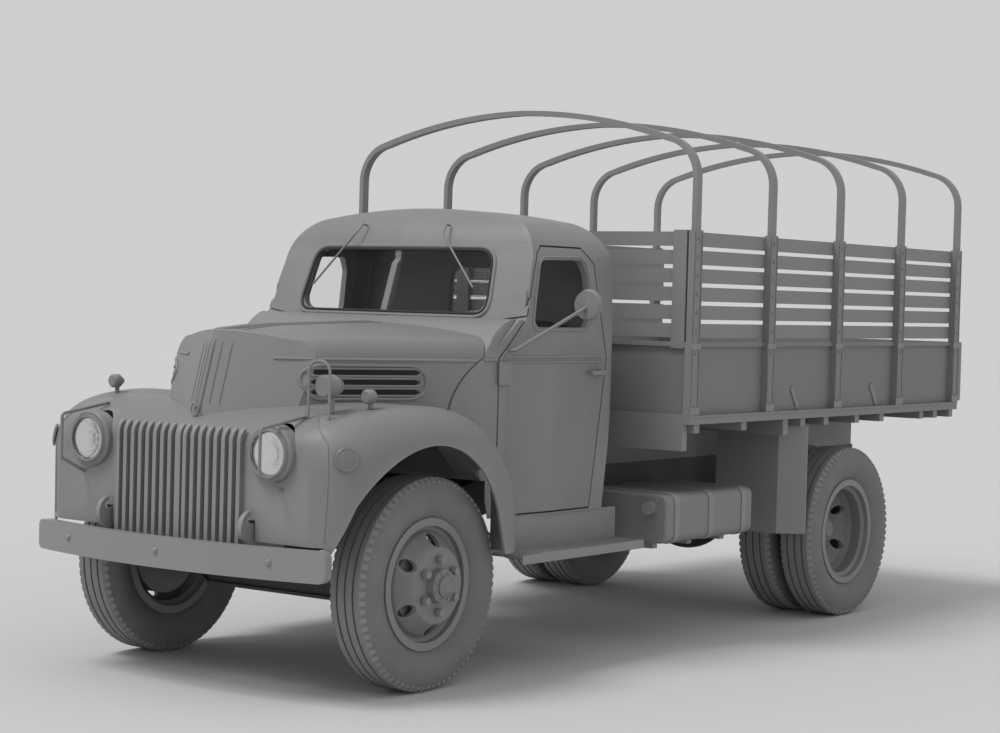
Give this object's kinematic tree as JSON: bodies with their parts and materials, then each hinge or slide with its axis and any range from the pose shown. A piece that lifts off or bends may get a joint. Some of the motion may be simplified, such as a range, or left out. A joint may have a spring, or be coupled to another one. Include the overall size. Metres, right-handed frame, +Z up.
{
  "type": "military cargo truck",
  "caption": "Two-axle light military cargo truck with a closed cab, split windshield, slatted steel bed and bare canopy bows.",
  "frame": {"origin": "on the ground, under the middle of the truck's box", "axes": "+Z up, +Y towards the tailgate, +X towards the driver's side, which is the truck's left"},
  "size_m": [2.098, 5.503, 2.602],
  "materials": {
    "paint": "satin",
    "chassis": "satin",
    "tyre": "matte",
    "glass": "clear",
    "seat_cover": "matte",
    "wheel_grip": "gloss"
  },
  "bodies": {
    "truck": {"bed_floor": "paint", "bed_sides": "paint", "bed_sills": "paint", "blackout_lamps": "paint", "bows": "paint", "cab_glass": "glass", "cab_shell": "paint", "drive_shaft": "chassis", "engine_block": "chassis", "fender_left": "paint", "fender_right": "paint", "frame": "chassis", "front_axle": "chassis", "front_bumper": "paint", "front_panel": "paint", "front_springs": "chassis", "fuel_tank": "paint", "gate_brackets": "paint", "headboard": "paint", "headlamps": "paint", "lamp_guards": "paint", "lamp_lenses": "glass", "rack_slats": "paint", "radiator": "chassis", "rear_axle": "chassis", "rear_springs": "chassis", "running_boards": "paint", "seat": "seat_cover", "splash_guards": "paint", "steering_wheel": "wheel_grip", "tank_straps": "paint", "tow_hooks": "paint", "wipers": "paint"},
    "hood": {"hood": "paint"},
    "door_left": {"door_left": "paint", "mirror": "paint"},
    "door_right": {"door_right": "paint"},
    "tailgate": {"tailgate": "paint"},
    "knuckle_left": {"knuckle_left": "chassis"},
    "knuckle_right": {"knuckle_right": "chassis"},
    "tie_rod": {"tie_rod": "chassis"},
    "wheel_front_left": {"tyre_front_left": "tyre", "rim_front_left": "paint", "hub_front_left": "chassis"},
    "wheel_front_right": {"tyre_front_right": "tyre", "rim_front_right": "paint", "hub_front_right": "chassis"},
    "wheel_rear_left": {"tyres_rear_left": "tyre", "rims_rear_left": "paint", "hub_rear_left": "chassis"},
    "wheel_rear_right": {"tyres_rear_right": "tyre", "rims_rear_right": "paint", "hub_rear_right": "chassis"}
  },
  "joints": [
    {"name": "hood_open", "type": "hinge", "parent": "truck", "child": "hood", "pos_m": [0, -1.3555, 1.55], "axis": [-1, 0, 0], "range_deg": [0, 42]},
    {"name": "door_left_open", "type": "hinge", "parent": "truck", "child": "door_left", "pos_m": [0.768, -1.4185, 1.05], "axis": [0, 0, -1], "range_deg": [0, 65]},
    {"name": "door_right_open", "type": "hinge", "parent": "truck", "child": "door_right", "pos_m": [-0.768, -1.4185, 1.05], "axis": [0, 0, 1], "range_deg": [0, 65]},
    {"name": "tailgate_drop", "type": "hinge", "parent": "truck", "child": "tailgate", "pos_m": [0, 2.7305, 1.066], "axis": [-1, 0, 0], "range_deg": [0, 172]},
    {"name": "steer_left", "type": "hinge", "parent": "truck", "child": "knuckle_left", "pos_m": [0.61, -1.9575, 0.452], "axis": [0, 0, 1], "range_deg": [-25, 25]},
    {"name": "steer_right", "type": "hinge", "parent": "truck", "child": "knuckle_right", "pos_m": [-0.61, -1.9575, 0.452], "axis": [0, 0, 1], "range_deg": [-25, 25]},
    {"name": "tie_rod_link", "type": "hinge", "parent": "knuckle_left", "child": "tie_rod", "pos_m": [0.61, -1.8075, 0.346], "axis": [0, 0, 1], "range_deg": [-25, 25]},
    {"name": "spin_front_left", "type": "hinge", "parent": "knuckle_left", "child": "wheel_front_left", "pos_m": [0.742, -1.9575, 0.452], "axis": [1, 0, 0], "continuous": true},
    {"name": "spin_front_right", "type": "hinge", "parent": "knuckle_right", "child": "wheel_front_right", "pos_m": [-0.742, -1.9575, 0.452], "axis": [1, 0, 0], "continuous": true},
    {"name": "spin_rear_left", "type": "hinge", "parent": "truck", "child": "wheel_rear_left", "pos_m": [0.81, 1.4465, 0.452], "axis": [1, 0, 0], "continuous": true},
    {"name": "spin_rear_right", "type": "hinge", "parent": "truck", "child": "wheel_rear_right", "pos_m": [-0.81, 1.4465, 0.452], "axis": [1, 0, 0], "continuous": true}
  ],
  "couplings": [
    {"joint": "steer_right", "follows": "steer_left", "ratio": 1},
    {"joint": "tie_rod_link", "follows": "steer_left", "ratio": -1}
  ]
}
